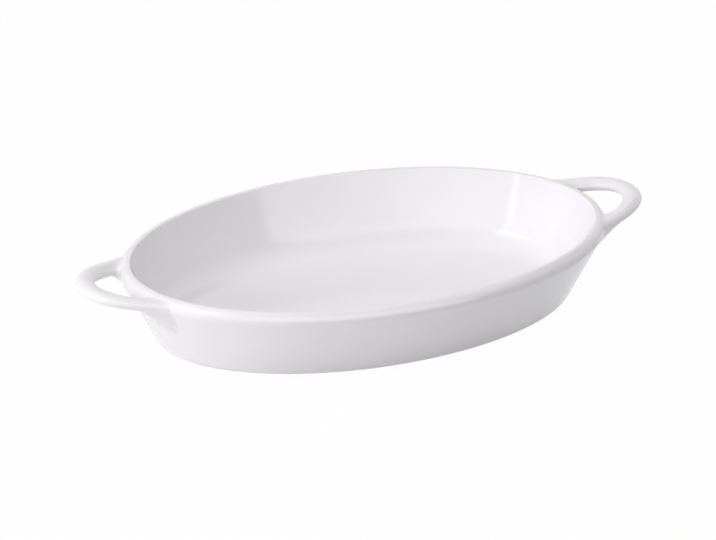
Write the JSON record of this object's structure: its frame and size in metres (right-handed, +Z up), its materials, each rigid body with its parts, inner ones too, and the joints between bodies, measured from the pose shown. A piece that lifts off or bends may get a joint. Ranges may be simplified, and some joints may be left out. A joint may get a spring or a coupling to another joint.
{
  "type": "gratin dish",
  "caption": "Oval glazed ceramic gratin dish with a flat floor, leaning wall, rounded rim, loop end handles and a bare foot ring.",
  "frame": {"origin": "centre of the resting plane, under the middle of the oval", "axes": "+X runs along the dish's length, through both handles, towards the right handle; +Y runs across its width; +Z is up, out of the open mouth"},
  "size_m": [0.33, 0.181, 0.0473],
  "materials": {
    "glaze": "glossy",
    "bare_clay": "matte"
  },
  "bodies": {
    "root": {"bowl": "glaze", "foot_ring": "bare_clay", "right_handle": "glaze", "left_handle": "glaze"}
  },
  "joints": []
}
